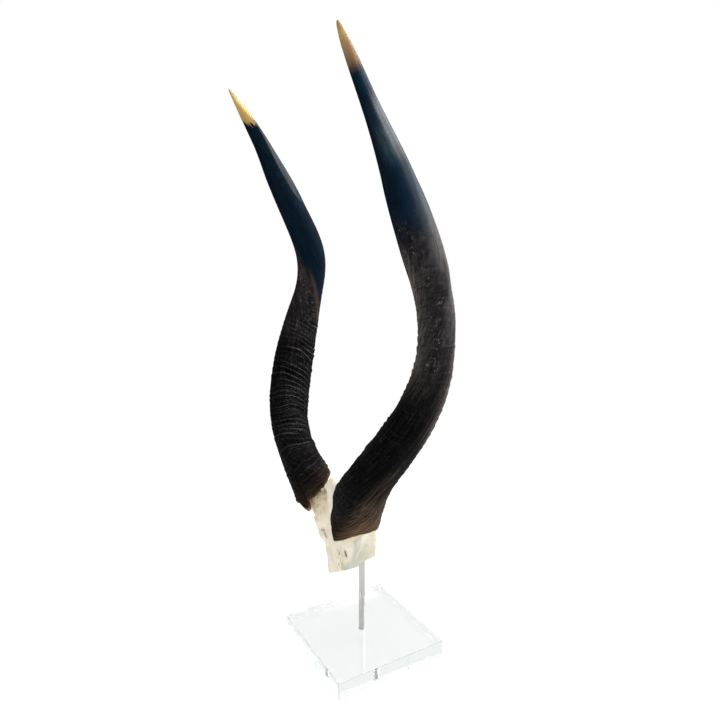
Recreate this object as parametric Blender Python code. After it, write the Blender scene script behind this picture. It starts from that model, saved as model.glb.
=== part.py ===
"""Nyala horns on their sawn skull cap, held by a steel rod over a clear acrylic block.

The animal looks towards -Y and its left horn is on +X. The origin is the centre of the block's underside.
Shapes are worked out in millimetres and turned into metres when a mesh is made.
"""

import bmesh
import bpy
import numpy as np

MM = 0.001

# Block and rod
BLOCK_SIDE = 152.0
BLOCK_HEIGHT = 22.0
BLOCK_BEVEL = 1.2
ROD_RADIUS = 4.0
ROD_SIDES = 24
ROD_FOOT = 13.5
ROD_TOP = 158.0
ROD_CHAMFER = 0.8
SOCKET_GAP = 0.3

# Centre line of the left horn: share of its length, then outwards, backwards and upwards
AXIS = (
    (0.00, 48, -40, 206),
    (0.12, 93, -51, 265),
    (0.25, 130, -38, 321),
    (0.38, 153, -14, 389),
    (0.50, 144, -1, 457),
    (0.62, 127, -7, 515),
    (0.75, 131, -39, 586),
    (0.88, 131, -71, 649),
    (1.00, 138, -106, 707),
)
# Mean radius of the section at a share of the length
RADIUS = (
    (0.00, 31.0),
    (0.12, 24.3),
    (0.25, 23.3),
    (0.38, 21.6),
    (0.50, 19.2),
    (0.62, 18.9),
    (0.75, 15.0),
    (0.88, 8.2),
    (0.95, 5.7),
    (1.00, 1.2),
)
# How much longer than wide the section is
OVAL = ((0.0, 0.01), (0.3, 0.11), (0.45, 0.08), (0.6, -0.01), (0.75, 0.02), (0.88, 0.08), (1.0, 0.05))
# Degrees through which the section has turned
TWIST = (
    (0.00, -11),
    (0.15, 74),
    (0.42, 133),
    (0.52, 179),
    (0.60, 221),
    (0.72, 244),
    (0.80, 279),
    (0.90, 306),
    (1.00, 395),
)
# Keels at both ends of the long way across: broad ones, and narrow ridges on them above the rings
BACK_KEEL = 0.14
FRONT_KEEL = 0.04
KEEL_SHARPNESS = 12.0
RIDGE = 0.045
RIDGE_SHARPNESS = 60.0
# Degrees by which the back keel lies beyond the far end of that way, in the upper horn
BACK_KEEL_LEAD = 22.0

# Growth rings of the lower half
RINGS = 42
RINGS_END = 0.56
RING_HEIGHT = 1.0
TIP_ROWS = 18
HORN_COLUMNS = 18

# Mouth of the sheath: how far its rim lies up the axis, in mm, at a direction round it in degrees
RIM_REACH = 0.12
RIM_LEFT = (
    (10, 21),
    (26, 13),
    (60, 8),
    (120, 8),
    (180, 3),
    (235, 2),
    (262, 2),
    (281, -11),
    (296, -1),
    (320, 15),
    (337, 21),
)
RIM_RIGHT = (
    (0, 1),
    (60, 8),
    (115, 15),
    (147, 7),
    (179, -1),
    (211, -5),
    (228, -5),
    (234, -15),
    (242, -16),
    (259, -6),
    (270, -1),
)
# The sheath is slimmer on its inner side at the mouth
TRIM = 3.2
TRIM_REACH = 0.09
TRIM_SIDE = 220.0
# From here on the columns of the mesh follow the keels
FOLLOW_FROM = 0.15
HORN_LENGTH = 566.0
WALL = 4.0
CUP_DEPTH = 27.0

# Skull cap
SKULL_CENTRE = (0.0, -26.0, 172.0)
SKULL_ROWS = 32
SKULL_COLUMNS = 36
SKULL_REACH = 120.0
SEAM_SOFTNESS = 2.5
# The walls flare out above FLARE_FOOT, most at the front, and bow back a little towards their sides
FLARE = 0.40
FLARE_FOOT = 138.0
FLARE_HEIGHT = 34.0
SIDE_BOW = 0.08
# Tongue of the frontal bones: its outline from the front, its middle plane, thickness and rounding
TONGUE = ((-22.5, 155), (-23.0, 110), (-20.0, 106.0), (-15.5, 106.5), (23.5, 132.0), (24.5, 155))
TONGUE_PLANE = -30.0
TONGUE_HALF = 7.5
TONGUE_EDGE = 2.5
# Saw cuts: one rises from right to left across the front, the other is the nearly level step behind it
FRONT_CUT = (131.0, 27.0, 0.62)
BACK_CUT = (132.0, -36.0, 0.16)
CUT_FRONT = -21.0


def smooth(table, at):
    """Values of a table at the given places: a natural cubic spline through its rows."""
    table = np.array(table, float)
    knots, values = table[:, 0], table[:, 1:]
    gaps = np.diff(knots)[:, None]
    slopes = np.diff(values, axis=0) / gaps
    system = np.eye(len(knots))
    change = np.zeros_like(values)
    for i in range(1, len(knots) - 1):
        system[i, i - 1 : i + 2] = gaps[i - 1, 0], 2 * (gaps[i - 1, 0] + gaps[i, 0]), gaps[i, 0]
        change[i] = 6 * (slopes[i] - slopes[i - 1])
    bend = np.linalg.solve(system, change)
    i = np.clip(np.searchsorted(knots, at) - 1, 0, len(knots) - 2)
    after = (at - knots[i])[..., None] / gaps[i]
    before = 1 - after
    curve = (before**3 - before) * bend[i] + (after**3 - after) * bend[i + 1]
    return before * values[i] + after * values[i + 1] + curve * gaps[i] ** 2 / 6


def ease(values, low, high):
    """0 below low, 1 above high, and an S curve between."""
    part = np.clip((values - low) / (high - low), 0, 1)
    return part * part * (3 - 2 * part)


def bump(turn, sharpness):
    """1 where the turn is 0, and falling off to both sides."""
    return np.exp(sharpness * (np.cos(turn) - 1))


def horn_radius(share, angle):
    """A circle stretched along the direction of the twist, with a keel at each end, trimmed at the mouth."""
    turn = angle - np.radians(smooth(TWIST, share)[..., 0])
    back = turn - np.radians(180 + BACK_KEEL_LEAD * ease(share, 0.55, 0.75))
    form = 1 + smooth(OVAL, share)[..., 0] * np.cos(2 * turn)
    form += FRONT_KEEL * bump(turn, KEEL_SHARPNESS) + BACK_KEEL * bump(back, KEEL_SHARPNESS)
    form += RIDGE * ease(share, 0.40, 0.65) * (bump(turn, RIDGE_SHARPNESS) + bump(back, RIDGE_SHARPNESS))
    trim = TRIM * (1 - ease(share, 0.0, TRIM_REACH)) * (0.5 + 0.5 * np.cos(angle - np.radians(TRIM_SIDE)))
    return smooth(RADIUS, share)[..., 0] * form - trim


def horn_point(share, angle, inset=0.0, lift=0.0):
    """Points of the left horn's skin at shares of its length and angles round its axis.

    The section lies in the plane across the axis, and angle 0 points outwards along X.
    """
    step = 1e-3
    along = smooth(AXIS, share + step) - smooth(AXIS, share - step)
    along /= np.linalg.norm(along, axis=-1, keepdims=True)
    across = np.array([1.0, 0.0, 0.0]) - along * along[..., :1]
    across /= np.linalg.norm(across, axis=-1, keepdims=True)
    third = np.cross(along, across)
    radius = horn_radius(share, angle) + lift - inset
    outwards = np.cos(angle)[..., None] * across + np.sin(angle)[..., None] * third
    return smooth(AXIS, share) + radius[..., None] * outwards


def rim_shift(rim, angle):
    """How far the rim lies up the axis, as a share of the length, joined smoothly round the mouth."""
    degrees, reach = np.array(rim, float).T
    return np.interp(np.degrees(angle), degrees, reach, period=360) / HORN_LENGTH


def twist_at(share):
    return np.radians(smooth(TWIST, np.maximum(share, FOLLOW_FROM))[..., 0])


def horn_rings(rim):
    """Rings of points from inside the mouth, over the rim and up the skin to the tip.

    The columns of points run straight at the mouth and then follow the keels.
    """
    angle = twist_at(np.zeros(1)) + np.linspace(0, 2 * np.pi, HORN_COLUMNS, endpoint=False)
    ridged = np.linspace(0, RINGS_END, 2 * RINGS + 1)
    plain = np.linspace(RINGS_END, 1, TIP_ROWS + 1)[1:]
    share, angle = np.meshgrid(np.concatenate([ridged, plain]), angle, indexing="ij")
    crest = np.zeros(len(share))
    crest[1 : 2 * RINGS : 2] = RING_HEIGHT * (1 - (ridged[1:-1:2] / RINGS_END) ** 3)
    shift = rim_shift(rim, angle)
    share = share + shift * np.clip(1 - share / RIM_REACH, 0, 1)
    angle = angle + twist_at(share) - twist_at(np.zeros(1))
    skin = horn_point(share, angle, lift=crest[:, None])
    depth = np.array([1.0, 0.8, 0.0])[:, None] * CUP_DEPTH / HORN_LENGTH
    inset = np.array([2.6, 1.2, 1.0])[:, None] * WALL
    wall = horn_point(depth + shift[:3] * (depth < 0.5 * depth.max()), angle[:3], inset=inset)
    return np.concatenate([wall, skin])


def skin_mesh(name, rings):
    """A closed mesh over rings of points, each end closed on the middle of its ring."""
    rows, columns = rings.shape[:2]
    points = np.concatenate([rings.reshape(-1, 3), [rings[0].mean(0), rings[-1].mean(0)]])
    index = np.arange(rows * columns).reshape(rows, columns)
    beside = np.roll(index, -1, axis=1)
    faces = np.stack([index[:-1], beside[:-1], beside[1:], index[1:]], -1).reshape(-1, 4).tolist()
    faces += [[b, a, rows * columns] for a, b in zip(index[0], beside[0])]
    faces += [[a, b, rows * columns + 1] for a, b in zip(index[-1], beside[-1])]
    mesh = bpy.data.meshes.new(name)
    mesh.from_pydata((points * MM).tolist(), [], faces)
    return tidy_normals(mesh)


def tidy_normals(mesh):
    work = bmesh.new()
    work.from_mesh(mesh)
    bmesh.ops.recalc_face_normals(work, faces=work.faces)
    work.to_mesh(mesh)
    work.free()
    return mesh


def egg(points, centre, radii):
    """Distance to an ellipsoid, near enough close to it."""
    offset = points - np.array(centre, float)
    radii = np.array(radii, float)
    ratio = np.linalg.norm(offset / radii, axis=-1)
    return ratio * (ratio - 1) / np.maximum(np.linalg.norm(offset / radii**2, axis=-1), 1e-9)


def limb(points, start, end, start_radius, end_radius):
    """Distance to a round bar with round ends, whose radius changes along it."""
    start = np.array(start, float)
    along = np.array(end, float) - start
    share = np.clip((points - start) @ along / (along @ along), 0, 1)
    away = np.linalg.norm(points - start - share[..., None] * along, axis=-1)
    return away - start_radius - (end_radius - start_radius) * share


def slab(points, centre, half_sizes, corner):
    """Distance to a box with rounded edges."""
    away = np.abs(points - np.array(centre, float)) - (np.array(half_sizes, float) - corner)
    return np.linalg.norm(np.maximum(away, 0), axis=-1) + np.minimum(away.max(-1), 0) - corner


def outline_distance(across, up, corners):
    """Distance to a flat outline in the XZ plane, negative inside it: the nearest of its sides."""
    place = np.stack([across, up], -1)
    corners = np.array(corners, float)
    nearest = np.full(across.shape, np.inf)
    inside = np.full(across.shape, -1.0)
    for start, end in zip(corners, np.roll(corners, -1, axis=0)):
        along = end - start
        share = np.clip((place - start) @ along / (along @ along), 0, 1)
        nearest = np.minimum(nearest, np.linalg.norm(place - start - share[..., None] * along, axis=-1))
        spans = (start[1] > up) != (end[1] > up)
        left = across < start[0] + (up - start[1]) * along[0] / (along[1] if along[1] else 1.0)
        inside = np.where(spans & left, -inside, inside)
    return nearest * -inside


def skull_distance(points):
    """Distance to the bone before it is sawn: lumps blended by a soft minimum.

    They are the braincase, the tongue, the walls with their flare, the frontal plate, the poll, its back
    slope, the brows and the horn cores. All but the tongue are the same on both sides.
    """
    half = np.concatenate([np.abs(points[..., :1]), points[..., 1:]], axis=-1)
    x, y, z = points[..., 0], points[..., 1], points[..., 2]
    widening = FLARE * np.clip(z - FLARE_FOOT, 0, FLARE_HEIGHT) * ease(-y, 2, 26)
    flare = np.stack([half[..., 0] - widening, y - SIDE_BOW * half[..., 0], z], -1)
    plate = outline_distance(x, z, TONGUE)
    depth = np.abs(flare[..., 1] - TONGUE_PLANE) - TONGUE_HALF
    tongue = np.hypot(np.maximum(plate, 0), np.maximum(depth, 0)) + np.minimum(np.maximum(plate, depth), 0)
    pieces = np.stack(
        [
            egg(half, (0, -7, 162), (28, 25, 44)),
            tongue - TONGUE_EDGE,
            slab(flare, (0, -18.5, 156), (27, 21.5, 28), 3),
            egg(half, (0, -33, 186), (40, 11, 40)),
            limb(half, (0, -38, 205), (0, -39, 232), 9, 10),
            limb(half, (0, -28, 212), (0, -8, 190), 14, 18),
            limb(half, (33, -36, 153), (37, -36, 172), 8, 12),
            limb(half, (24, -33, 184), (50, -40, 208), 16, 20),
        ]
    )
    nearest = pieces.min(0)
    return nearest - SEAM_SOFTNESS * np.log(np.exp((nearest - pieces) / SEAM_SOFTNESS).sum(0))


def skull_rings():
    """Rings of points on the bone, each found by halving along a line from the middle of the skull."""
    tilt = np.linspace(0, np.pi, SKULL_ROWS + 2)[1:-1]
    turn = np.linspace(0, 2 * np.pi, SKULL_COLUMNS, endpoint=False)
    tilt, turn = np.meshgrid(tilt, turn, indexing="ij")
    line = np.stack([np.sin(tilt) * np.cos(turn), np.sin(tilt) * np.sin(turn), np.cos(tilt)], -1)
    inside = np.zeros_like(tilt)
    outside = np.full_like(tilt, SKULL_REACH)
    for _ in range(30):
        middle = (inside + outside) / 2
        in_bone = skull_distance(np.array(SKULL_CENTRE) + middle[..., None] * line) < 0
        inside = np.where(in_bone, middle, inside)
        outside = np.where(in_bone, outside, middle)
    return np.array(SKULL_CENTRE) + inside[..., None] * line


def bar_rings(radius, foot, top, chamfer):
    """Rings of an upright bar on the Z axis with its two end edges cut off at a slant."""
    angle = np.linspace(0, 2 * np.pi, ROD_SIDES, endpoint=False)
    profile = ((radius - chamfer, foot), (radius, foot + chamfer), (radius, top - chamfer), (radius - chamfer, top))
    rows = [(r * np.cos(angle), r * np.sin(angle), np.full_like(angle, z)) for r, z in profile]
    return np.array(rows).transpose(0, 2, 1)


def box_mesh(name, low, high, bevel=0.0):
    work = bmesh.new()
    bmesh.ops.create_cube(work, size=1.0)
    low, high = np.array(low, float), np.array(high, float)
    for vertex in work.verts:
        vertex.co = ((np.array(vertex.co) + 0.5) * (high - low) + low) * MM
    if bevel:
        bmesh.ops.bevel(work, geom=work.edges[:], offset=bevel * MM, segments=1, affect="EDGES")
    mesh = bpy.data.meshes.new(name)
    work.to_mesh(mesh)
    work.free()
    return mesh


def slope(cut, at):
    """Height of a saw cut, given as a height, the place where it has that height, and its rise per mm."""
    height, place, rise = cut
    return height + rise * (at - place)


def wedge_mesh(name, low, high, cut, axis):
    """A box from low up to a saw cut that slopes along one axis."""
    mesh = box_mesh(name, low, high)
    for vertex in mesh.vertices:
        if vertex.co.z > (low[2] + high[2]) / 2 * MM:
            vertex.co.z = slope(cut, vertex.co[axis] / MM) * MM
    return mesh


def material(name, colour, roughness, metallic=0.0, transmission=0.0):
    made = bpy.data.materials.new(name)
    made.use_nodes = True
    surface = made.node_tree.nodes["Principled BSDF"].inputs
    surface["Base Color"].default_value = (*colour, 1)
    surface["Roughness"].default_value = roughness
    surface["Metallic"].default_value = metallic
    surface["Transmission Weight"].default_value = transmission
    return made


def add(name, mesh, made_of=None, rounded=True):
    piece = bpy.data.objects.new(name, mesh)
    bpy.context.scene.collection.objects.link(piece)
    if made_of:
        mesh.materials.append(made_of)
    mesh.polygons.foreach_set("use_smooth", [rounded] * len(mesh.polygons))
    return piece


def cut(piece, name, mesh):
    """Takes the mesh's shape out of the piece."""
    cutter = add(name, mesh, rounded=False)
    cutter.hide_render = True
    cutter.display_type = "WIRE"
    boolean = piece.modifiers.new(name, "BOOLEAN")
    boolean.object = cutter
    boolean.operation = "DIFFERENCE"
    boolean.solver = "EXACT"


def build_stand():
    half = BLOCK_SIDE / 2
    block = add(
        "acrylic_base",
        box_mesh("acrylic_base", (-half, -half, 0), (half, half, BLOCK_HEIGHT), BLOCK_BEVEL),
        material("Clear cast acrylic", (0.95, 0.97, 0.97), 0.03, transmission=1.0),
        rounded=False,
    )
    hole = bar_rings(ROD_RADIUS + SOCKET_GAP, ROD_FOOT - SOCKET_GAP, BLOCK_HEIGHT + 5, ROD_CHAMFER)
    cut(block, "block_socket", skin_mesh("block_socket", hole))
    add(
        "support_rod",
        skin_mesh("support_rod", bar_rings(ROD_RADIUS, ROD_FOOT, ROD_TOP, ROD_CHAMFER)),
        material("Satin steel", (0.62, 0.62, 0.60), 0.35, metallic=1.0),
    )


def build_skull():
    skull = add(
        "skull_cap",
        skin_mesh("skull_cap", skull_rings()),
        material("Dry bleached bone", (0.78, 0.70, 0.53), 0.7),
    )
    cut(skull, "front_cut", wedge_mesh("front_cut", (-60, -70, 50), (60, 60, 150), FRONT_CUT, 0))
    cut(skull, "back_cut", wedge_mesh("back_cut", (-60, CUT_FRONT, 50), (60, 60, 150), BACK_CUT, 1))
    foot = slope(BACK_CUT, 0.0) - 10
    hole = bar_rings(ROD_RADIUS + SOCKET_GAP, foot, ROD_TOP + SOCKET_GAP, ROD_CHAMFER)
    cut(skull, "skull_socket", skin_mesh("skull_socket", hole))


def build_horns():
    sheath = material("Dark horn", (0.02, 0.016, 0.014), 0.45)
    for name, rim, side in (("horn_left", RIM_LEFT, 1), ("horn_right", RIM_RIGHT, -1)):
        add(name, skin_mesh(name, horn_rings(rim) * (side, 1, 1)), sheath)


def main():
    for piece in list(bpy.data.objects):
        bpy.data.objects.remove(piece)
    build_stand()
    build_skull()
    build_horns()


main()
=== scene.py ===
"""The looks of the nyala horns: keeled sheaths on a dry skull cap, a satin rod and a clear block.

Shapes are worked out in millimetres, in the frame of the solids: the animal looks towards -Y, its left
horn is on +X, and the middle of the block's underside is the origin. Directions round a horn are in
degrees: 0 is outwards, 90 backwards, 180 inwards and 270 forwards.
"""

from math import radians

import bpy
import numpy as np
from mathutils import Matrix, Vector


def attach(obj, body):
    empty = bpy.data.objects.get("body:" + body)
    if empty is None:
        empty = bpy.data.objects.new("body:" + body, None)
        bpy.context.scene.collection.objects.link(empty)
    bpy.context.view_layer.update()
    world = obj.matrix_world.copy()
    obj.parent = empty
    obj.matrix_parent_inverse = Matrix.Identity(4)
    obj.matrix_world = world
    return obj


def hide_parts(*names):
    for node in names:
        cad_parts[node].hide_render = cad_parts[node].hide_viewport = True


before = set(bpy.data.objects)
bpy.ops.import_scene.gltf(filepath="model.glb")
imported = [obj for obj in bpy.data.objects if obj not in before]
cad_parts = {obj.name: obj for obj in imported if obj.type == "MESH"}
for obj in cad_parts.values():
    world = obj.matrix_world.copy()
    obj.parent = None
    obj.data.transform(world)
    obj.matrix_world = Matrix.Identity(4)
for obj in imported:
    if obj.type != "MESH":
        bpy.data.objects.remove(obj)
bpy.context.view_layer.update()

MM = 0.001
# Sockets of a mix of two colours: how much of the upper one, the one below and the upper one
AMOUNT, UNDER, OVER = 0, 6, 7

# Centre line of the left horn: share of its length, then outwards, backwards and upwards
AXIS = (
    (0.00, 48, -40, 206),
    (0.12, 93, -51, 265),
    (0.25, 130, -38, 321),
    (0.38, 153, -14, 389),
    (0.50, 144, -1, 457),
    (0.62, 127, -7, 515),
    (0.75, 131, -39, 586),
    (0.88, 131, -71, 649),
    (1.00, 138, -106, 707),
)
# Mean radius of the section at a share of the length
RADIUS = (
    (0.00, 31.0),
    (0.12, 24.3),
    (0.25, 23.3),
    (0.38, 21.6),
    (0.50, 19.2),
    (0.62, 18.9),
    (0.75, 15.0),
    (0.88, 8.2),
    (0.95, 5.7),
    (1.00, 1.2),
)
# How much longer than wide the section is
OVAL = ((0.0, 0.01), (0.3, 0.11), (0.45, 0.08), (0.6, -0.01), (0.75, 0.02), (0.88, 0.08), (1.0, 0.05))
# Degrees through which the section has turned
TWIST = (
    (0.00, -11),
    (0.15, 74),
    (0.42, 133),
    (0.52, 179),
    (0.60, 221),
    (0.72, 244),
    (0.80, 279),
    (0.90, 306),
    (1.00, 395),
)
# Keels at both ends of the long way across: broad ones, and narrow ridges on them above the rings
BACK_KEEL = 0.14
FRONT_KEEL = 0.04
KEEL_SHARPNESS = 12.0
RIDGE = 0.045
RIDGE_SHARPNESS = 60.0
# Degrees by which the back keel lies beyond the far end of that way, in the upper horn
BACK_KEEL_LEAD = 22.0

# The tip is rounded off between these shares of the length
TIP_ROUND = 0.992
TIP_END = 1.001

HORN_LENGTH = 566.0
# Growth rings: how many lie below a share of the length, and how many fine ones go to each
RINGS = 42
RINGS_END = 0.56
FINE_RINGS = 3.1
# Height of a ring, height of a fine one, and how far the skin below them is sunk
RING_HEIGHT = 2.3
FINE_HEIGHT = 1.0
RING_BED = 0.9
# From one layer of the rim to the next
LAYER_SPACING = 4.6
# Directions: where the rings are lowest, the strip of bare fibre, the faint one opposite, and the fan
RINGS_LOW = 350
STRIP_SIDE = 52
FAINT_SIDE = 242
FAN_SIDE = 30
# Directions in which the skin is rubbed: on the whole and on the upper flank; where a painted sheen sits on
# that flank; and where the foot is rubbed
RUBBED_SIDE = 30
FLANK_SIDE = 2
PAINTED_SHEEN_SIDE = -22
FOOT_SIDE = 50
# Direction that the paler colours of the outer face are centred on
OUTER_SIDE = 20
# Degrees by which the grain leans over at the mouth, and the share of the length up to which it does
GRAIN_LEAN = 30
LEAN_REACH = 0.09
# Wall of the sheath, the share by which it thickens to the bottom of the cup, and how far its edge bulges
WALL = 4.0
WALL_GROWTH = 1.6
EDGE_BULGE = 0.9
# How far the cup at the mouth goes in
CUP_DEPTH = 27.0
# Points of a sheath: columns, and rows up the ringed skin, up the rest, in the cup and over the rim
COLUMNS = 112
RINGED_ROWS = 640
SMOOTH_ROWS = 200
CUP_ROWS = 14
EDGE_ROWS = 5
INNER_ROWS = CUP_ROWS + EDGE_ROWS
# Share of the length up to which the rows lie close together
CLOSE_ROWS_END = 0.6

# Share of the length up to which the torn rim shifts the rows
RIM_REACH = 0.12
# Mouth of the sheath: how far its rim lies up the axis, in mm, at a direction round it in degrees
RIM_LEFT = (
    (10, 21),
    (26, 13),
    (60, 8),
    (120, 8),
    (180, 3),
    (235, 2),
    (262, 2),
    (281, -11),
    (296, -1),
    (320, 15),
    (337, 21),
)
RIM_RIGHT = (
    (0, 1),
    (60, 8),
    (115, 15),
    (147, 7),
    (179, -1),
    (211, -5),
    (228, -5),
    (234, -15),
    (242, -16),
    (259, -6),
    (270, -1),
)
# The sheath is slimmer on its inner side at the mouth
TRIM = 3.2
TRIM_REACH = 0.09
TRIM_SIDE = 220.0
# From here on the columns of the mesh follow the keels
FOLLOW_FROM = 0.15

# Middle of the left horn's mouth, and the place in the bone from which all of its skin can be seen
MOUTH = np.array([50.0, -41.0, 207.0])
SKULL_CENTRE = np.array([0.0, -26.0, 172.0])
# How softly the lumps of the bone run into each other
SEAM_SOFTNESS = 2.5
# The seam of the frontal bones shows in front of this plane
SEAM_BACK = -30.0
# The walls flare out above FLARE_FOOT, most at the front, and bow back a little towards their sides
FLARE = 0.40
FLARE_FOOT = 138.0
FLARE_HEIGHT = 34.0
SIDE_BOW = 0.08
# Tongue of the frontal bones: its outline from the front, its middle plane, thickness and rounding
TONGUE = ((-22.5, 155), (-23.0, 110), (-20.0, 106.0), (-15.5, 106.5), (23.5, 132.0), (24.5, 155))
TONGUE_PLANE = -30.0
TONGUE_HALF = 7.5
TONGUE_EDGE = 2.5
# Saw cuts: one rises from right to left across the front, the other is the nearly level step behind it
FRONT_CUT = (131.0, 27.0, 0.62)
BACK_CUT = (132.0, -36.0, 0.16)
CUT_FRONT = -21.0

# Where the ringed brown horn gives way to the smooth blue black, by direction from the front keel
WORN_LEFT = ((0, 0.64), (20, 0.66), (90, 0.68), (200, 0.69), (270, 0.60), (330, 0.60))
WORN_RIGHT = ((0, 0.53), (35, 0.61), (90, 0.68), (200, 0.69), (270, 0.52), (330, 0.42))
# The rubbed facet of the back, at the top: how far it reaches round at a share of the length
FACET = ((0.701, 90), (0.713, 130), (0.723, 146), (0.744, 160), (0.809, 166), (0.94, 160))

# Soft random fields scramble a lattice place with these factors and shifts into a key of 31 bits
LATTICE_FACTORS = np.array([73856093, 19349663, 83492791])
SCRAMBLE = ((13, 1274126177), (15, 668265263))
KEY_BITS = 0x7FFFFFFF
HALF_KEY = 0x3FFFFFFF
# How far apart the lattices of two seeds lie
SEED_STEP = 311.7


def smooth(table, at):
    """Values of a table at the given places: a natural cubic spline through its rows."""
    table = np.array(table, float)
    knots, values = table[:, 0], table[:, 1:]
    gaps = np.diff(knots)[:, None]
    slopes = np.diff(values, axis=0) / gaps
    system = np.eye(len(knots))
    change = np.zeros_like(values)
    for i in range(1, len(knots) - 1):
        system[i, i - 1 : i + 2] = gaps[i - 1, 0], 2 * (gaps[i - 1, 0] + gaps[i, 0]), gaps[i, 0]
        change[i] = 6 * (slopes[i] - slopes[i - 1])
    bend = np.linalg.solve(system, change)
    i = np.clip(np.searchsorted(knots, at) - 1, 0, len(knots) - 2)
    after = (at - knots[i])[..., None] / gaps[i]
    before = 1 - after
    curve = (before**3 - before) * bend[i] + (after**3 - after) * bend[i + 1]
    return before * values[i] + after * values[i + 1] + curve * gaps[i] ** 2 / 6


def round_table(table, degrees):
    """Values of a table that goes once round a circle, straight between its rows."""
    at, values = np.array(table, float).T
    return np.interp(degrees, at, values, period=360)


def rough(points, size, seed):
    """A soft random field from -1 to 1: random numbers on a lattice of that size, eased in between."""
    grid = points / np.array(size, float) + SEED_STEP * seed
    cell = np.floor(grid).astype(np.int64)
    part = grid - cell
    part = part * part * (3 - 2 * part)
    total = np.zeros(points.shape[:-1])
    for corner in np.ndindex(2, 2, 2):
        key = (cell + np.array(corner)) * LATTICE_FACTORS
        key = key[..., 0] ^ key[..., 1] ^ key[..., 2]
        for shift, factor in SCRAMBLE:
            key = (key ^ (key >> shift)) * factor & KEY_BITS
        weight = np.prod(np.where(corner, part, 1 - part), axis=-1)
        total += weight * (key / HALF_KEY - 1)
    return total


def ease(values, low, high):
    """0 below low, 1 above high, and an S curve between."""
    part = np.clip((values - low) / (high - low), 0, 1)
    return part * part * (3 - 2 * part)


def band(values, start, full, fading, end):
    """0 outside a band and 1 in it, with an S curve at each end."""
    return ease(values, start, full) * (1 - ease(values, fading, end))


def wrap(name, rings, fields=None):
    """A closed mesh over rings of points, with named values per point.

    Each end is closed on the middle of its ring.
    """
    rows, columns = rings.shape[:2]
    points = np.concatenate([rings.reshape(-1, 3), [rings[0].mean(0), rings[-1].mean(0)]]) * MM
    index = np.arange(rows * columns).reshape(rows, columns)
    beside = np.roll(index, -1, axis=1)
    quads = np.stack([index[:-1], index[1:], beside[1:], beside[:-1]], -1).reshape(-1, 4)
    first = np.stack([beside[0], np.full(columns, rows * columns), index[0]], -1)
    last = np.stack([index[-1], np.full(columns, rows * columns + 1), beside[-1]], -1)
    if volume(points, quads) < 0:
        quads, first, last = quads[:, ::-1], first[:, ::-1], last[:, ::-1]
    mesh = bpy.data.meshes.new(name)
    mesh.from_pydata(points.tolist(), [], quads.tolist() + first.tolist() + last.tolist())
    mesh.polygons.foreach_set("use_smooth", np.ones(len(mesh.polygons), bool))
    for label, values in (fields or {}).items():
        give(mesh, label, values)
    piece = bpy.data.objects.new(name, mesh)
    bpy.context.scene.collection.objects.link(piece)
    return piece


def volume(points, quads):
    """Six times the volume inside the quads, which is negative where they face inwards."""
    a, b, c, d = points[quads].transpose(1, 0, 2)
    return np.einsum("ij,ij->", a, np.cross(b, c) + np.cross(c, d))


def give(mesh, label, values):
    """Stores one number or one vector per point, the two end points taking the mean of their rings."""
    size = 3 if values.ndim == 3 else 1
    ends = [values[row].reshape(-1, size).mean(0) for row in (0, -1)]
    flat = np.concatenate([values.reshape(-1, size), ends])
    kind, key = ("FLOAT_VECTOR", "vector") if size == 3 else ("FLOAT", "value")
    mesh.attributes.new(label, kind, "POINT").data.foreach_set(key, flat.astype(np.float32).ravel())


def horn_frame(share):
    """Centre of the horn and the two directions across its axis: outwards, then the third one."""
    step = 1e-3
    along = smooth(AXIS, share + step) - smooth(AXIS, share - step)
    along /= np.linalg.norm(along, axis=-1, keepdims=True)
    across = np.array([1.0, 0.0, 0.0]) - along * along[..., :1]
    across /= np.linalg.norm(across, axis=-1, keepdims=True)
    return smooth(AXIS, share), across, np.cross(along, across)


def hump(turn, sharpness):
    """1 where the turn is 0, and falling off to both sides."""
    return np.exp(sharpness * (np.cos(turn) - 1))


def horn_radius(share, angle):
    """Radius of the sheath, from its centre line to its skin.

    A circle is stretched along the direction of the twist and has a broad keel at each end, with a narrow
    ridge on it in the upper horn. The mouth is trimmed on its inner side.
    """
    turn = angle - np.radians(smooth(TWIST, share)[..., 0])
    back = turn - np.radians(180 + BACK_KEEL_LEAD * ease(share, 0.55, 0.75))
    form = 1 + smooth(OVAL, share)[..., 0] * np.cos(2 * turn)
    form += FRONT_KEEL * hump(turn, KEEL_SHARPNESS) + BACK_KEEL * hump(back, KEEL_SHARPNESS)
    ridges = hump(turn, RIDGE_SHARPNESS) + hump(back, RIDGE_SHARPNESS)
    form += RIDGE * ease(share, 0.40, 0.65) * ridges
    inwards = 0.5 + 0.5 * np.cos(angle - np.radians(TRIM_SIDE))
    trim = TRIM * (1 - ease(share, 0.0, TRIM_REACH)) * inwards
    return smooth(RADIUS, share)[..., 0] * form - trim


def twist_at(share):
    """How far the columns of points have turned: not at all at the mouth, and with the keels further up."""
    return np.radians(smooth(TWIST, np.maximum(share, FOLLOW_FROM))[..., 0])


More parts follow.
